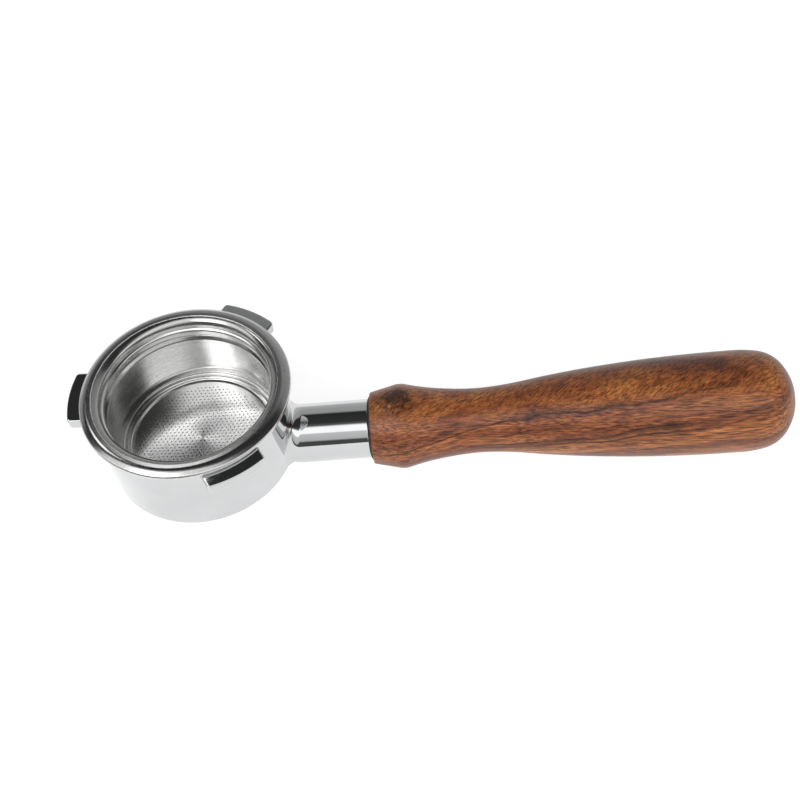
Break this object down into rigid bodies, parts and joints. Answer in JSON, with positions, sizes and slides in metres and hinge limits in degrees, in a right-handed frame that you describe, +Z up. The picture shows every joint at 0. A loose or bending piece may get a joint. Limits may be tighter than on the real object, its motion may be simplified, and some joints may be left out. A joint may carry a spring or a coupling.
{
  "type": "portafilter",
  "caption": "Bottomless espresso portafilter: bayonet ring with lugs and neck, lift-out perforated filter basket with rolled rim, and a turned wooden grip.",
  "frame": {"origin": "centre of the ring's bottom opening, on the cup axis, in the plane of the ring's base", "axes": "+Z up the cup axis towards the rim, +X along the handle away from the ring"},
  "size_m": [0.226, 0.07, 0.0408],
  "materials": {
    "polished_casting": "polished",
    "satin_steel": "satin",
    "spring_wire": "drawn",
    "plated_stud": "satin",
    "dark_washer": "matte",
    "insert_brass": "satin",
    "oiled_wood": "satin"
  },
  "bodies": {
    "holder": {"holder_body": "polished_casting", "retention_spring": "spring_wire", "handle_stud": "plated_stud", "handle_washer": "dark_washer", "handle_insert": "insert_brass", "handle_grip": "oiled_wood"},
    "basket": {"filter_basket": "satin_steel"}
  },
  "joints": [
    {"name": "basket_lift", "type": "slide", "parent": "holder", "child": "basket", "axis": [0, 0, 1], "range_m": [0, 0.034]}
  ]
}
